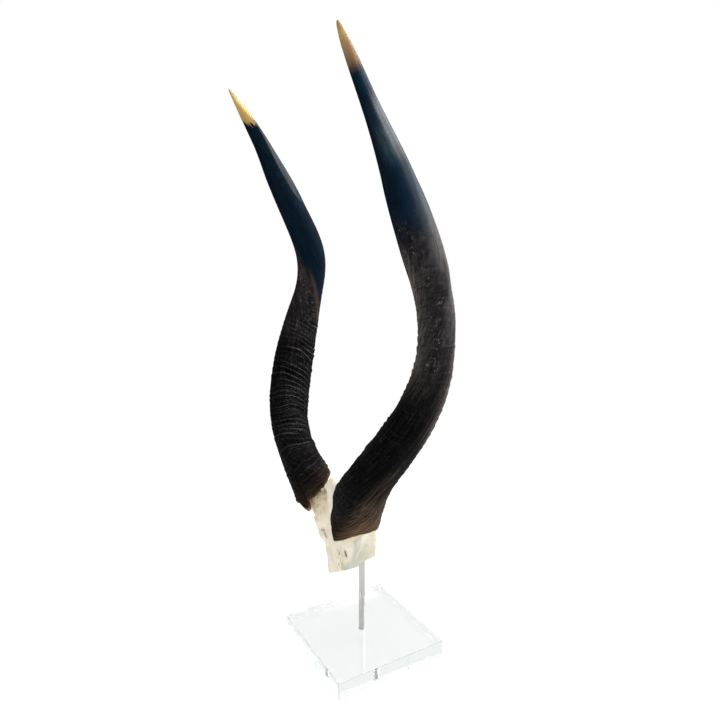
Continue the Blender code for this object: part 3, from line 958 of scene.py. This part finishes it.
def dry_bone():
    """Dry bleached bone: chalky, softly translucent and finely pored."""
    made, tree, surface = new_material("Dry bleached bone")
    place = node(tree, "TexCoord", output="Object")
    # Clouds of 20 mm, spots of 3 mm and pores of 1.2 mm
    cloud = node(tree, "TexNoise", {"Vector": place, "Scale": 50.0, "Detail": 4.0, "Roughness": 0.6})
    drawn = node(tree, "Mapping", {"Vector": place, "Scale": (1.0, 1.0, 0.55)})
    spot = node(tree, "TexNoise", {"Vector": drawn, "Scale": 330.0, "Detail": 4.0, "Roughness": 0.75})
    pore = node(tree, "TexVoronoi", {"Vector": place, "Scale": 800.0, "Randomness": 1.0})
    tree.links.new(bone_colour(tree, cloud, spot, pore), surface.inputs["Base Color"])
    surface.inputs["Roughness"].default_value = 0.72
    surface.inputs["Subsurface Weight"].default_value = 0.12
    surface.inputs["Subsurface Radius"].default_value = (0.004, 0.0025, 0.0015)
    relief = node(tree, "Math", {0: pore, 1: 0.5, 2: spot}, operation="MULTIPLY_ADD")
    bump = node(tree, "Bump", {"Height": relief, "Strength": 0.6, "Distance": 0.4 * MM})
    tree.links.new(bump, surface.inputs["Normal"])
    return made


def satin_steel():
    """Stainless steel bar, drawn and rubbed along its length: soft streaks and a broad soft highlight."""
    made, tree, surface = new_material("Drawn stainless steel")
    place = node(tree, "TexCoord", output="Object")
    # Draw lines 0.3 mm wide
    drawn = node(tree, "Mapping", {"Vector": place, "Scale": (1.0, 1.0, 0.02)})
    line = node(tree, "TexNoise", {"Vector": drawn, "Scale": 3000.0, "Detail": 2.0})
    colour = node(tree, "Mix", {AMOUNT: line, UNDER: "#aeaeab", OVER: "#cbcbc7"}, data_type="RGBA")
    tree.links.new(colour, surface.inputs["Base Color"])
    surface.inputs["Metallic"].default_value = 1.0
    rubbed = node(tree, "MapRange", {"Value": line, "To Min": 0.18, "To Max": 0.34})
    tree.links.new(rubbed, surface.inputs["Roughness"])
    return made


def clear_acrylic():
    """Cast acrylic with polished faces: clear, with a faint cool tint where it is looked into deeply."""
    made, tree, surface = new_material("Clear cast acrylic")
    surface.inputs["Base Color"].default_value = linear("#fbfcfc")
    surface.inputs["Roughness"].default_value = 0.01
    surface.inputs["IOR"].default_value = 1.49
    surface.inputs["Transmission Weight"].default_value = 1.0
    tint = node(tree, "VolumeAbsorption", {"Color": "#e6eceb", "Density": 3.2})
    tree.links.new(tint, tree.nodes["Material Output"].inputs["Volume"])
    return made


def paint(piece, made):
    """Gives a piece one material."""
    piece.data.materials.clear()
    piece.data.materials.append(made)


def build_stage():
    """A plain pale sheet, lit mostly from below so that shadows on it stay faint."""
    reach, height, count = 0.75, -0.0004, 64
    turn = np.linspace(0, 2 * np.pi, count, endpoint=False)
    points = np.column_stack([reach * np.cos(turn), reach * np.sin(turn), np.full(count, height)])
    mesh = bpy.data.meshes.new("floor")
    mesh.from_pydata(points.tolist(), [], [list(range(count))])
    floor = bpy.data.objects.new("floor", mesh)
    bpy.context.scene.collection.objects.link(floor)
    pale, _, surface = new_material("Pale translucent sheet")
    surface.inputs["Base Color"].default_value = linear("#909090")
    surface.inputs["Roughness"].default_value = 0.9
    surface.inputs["Specular IOR Level"].default_value = 0.0
    surface.inputs["Emission Color"].default_value = linear("#ffffff")
    surface.inputs["Emission Strength"].default_value = 0.84
    mesh.materials.append(pale)


def soft_light(name, place, aim, size, power, spread):
    """A soft box at a place, turned towards what it lights; its size is its width and height."""
    lamp = bpy.data.lights.new(name, "AREA")
    lamp.shape, lamp.size, lamp.size_y, lamp.energy = "RECTANGLE", size[0], size[1], power
    lamp.spread = radians(spread)
    box = bpy.data.objects.new(name, lamp)
    bpy.context.scene.collection.objects.link(box)
    box.location = place
    box.rotation_euler = (Vector(aim) - Vector(place)).to_track_quat("-Z", "Y").to_euler()


def build_room():
    """A room that is grey to the object, and white where it is seen straight or through the clear block.

    A ray that passed through the block and was scattered by nothing on its way counts as seeing through it.
    """
    world = bpy.data.worlds.new("Studio")
    bpy.context.scene.world = world
    world.use_nodes = True
    tree = world.node_tree
    straight = node(tree, "LightPath", output="Is Camera Ray")
    through = node(tree, "LightPath", output="Transmission Depth")
    scattered = node(tree, "LightPath", output="Diffuse Depth")
    through = node(tree, "Math", {0: through, 1: 0.5}, operation="GREATER_THAN")
    unscattered = node(tree, "Math", {0: scattered, 1: 0.5}, operation="LESS_THAN")
    clear = node(tree, "Math", {0: through, 1: unscattered}, operation="MULTIPLY")
    white = node(tree, "Math", {0: straight, 1: clear}, operation="MAXIMUM")
    glow = node(tree, "Mix", {AMOUNT: white, UNDER: "#595959", OVER: "#ffffff"}, data_type="RGBA")
    tree.links.new(glow, tree.nodes["Background"].inputs["Color"])


def build_lights():
    """A wide light overhead, and soft boxes behind, at the side and in front."""
    overhead = bpy.data.lights.new("Overhead", "SUN")
    overhead.energy, overhead.angle = 1.7, radians(50)
    lamp = bpy.data.objects.new("Overhead", overhead)
    bpy.context.scene.collection.objects.link(lamp)
    # Name, place, what it is turned to, width and height, power, and spread in degrees
    boxes = (
        ("Rear right box", (0.1, 1.5, 1.1), (0, 0.1, 0.6), (1.2, 1.0), 14, 110),
        ("Side box", (1.25, 0.95, 1.1), (0, 0.1, 0.8), (0.9, 0.8), 3.4, 48),
        ("Front fill", (0.8, -1.9, 0.35), (0, 0, 0.15), (1.0, 0.7), 18, 180),
    )
    for box in boxes:
        soft_light(*box)


def build_camera():
    """The photograph's view: its focal length and width in pixels, tilted down and turned by degrees."""
    focal, width, sensor, down, turned = 605, 720, 36.0, 11.45, 59.5
    lens = bpy.data.cameras.new("Camera")
    lens.sensor_width, lens.lens = sensor, focal / width * sensor
    camera = bpy.data.objects.new("Camera", lens)
    bpy.context.scene.collection.objects.link(camera)
    camera.location = (0.6179, -0.3668, 0.5309)
    camera.rotation_euler = (radians(90 - down), 0, radians(turned))
    bpy.context.scene.camera = camera


def main():
    """Builds the view, the light and the pieces, paints them, and sets how the picture is shown and how
    often rays bounce.
    """
    build_camera()
    build_room()
    build_lights()
    build_stage()
    near = build_horn("left_sheath", 1, RIM_LEFT, WORN_LEFT, 0.95, (0.0, 57), 3)
    far = build_horn("right_sheath", -1, RIM_RIGHT, WORN_RIGHT, 0.1, (0.007, 125), 17)
    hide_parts("horn_left")
    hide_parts("horn_right")
    brown_tip = ((0.0, "#70563f"), (0.3, "#937557"), (0.55, "#a88960"), (0.75, "#c0a06e"), (1.0, "#ad8b58"))
    paint(near, horn_keratin("Horn keratin, brown tip", 0.32, 0.935, 0.010, 0.02, brown_tip))
    ivory_tip = ((0.0, "#b8925a"), (0.3, "#caab6c"), (0.7, "#d0ba7c"), (1.0, "#b5a06a"))
    paint(far, horn_keratin("Horn keratin, ivory tip", 0.385, 0.924, 0.004, 0.05, ivory_tip))
    paint(build_skull(), dry_bone())
    paint(build_rod(), satin_steel())
    paint(build_block(), clear_acrylic())
    bpy.context.scene.view_settings.view_transform = "Standard"
    cycles = bpy.context.scene.cycles
    cycles.max_bounces, cycles.glossy_bounces, cycles.transmission_bounces = 32, 24, 24
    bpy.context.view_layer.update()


main()
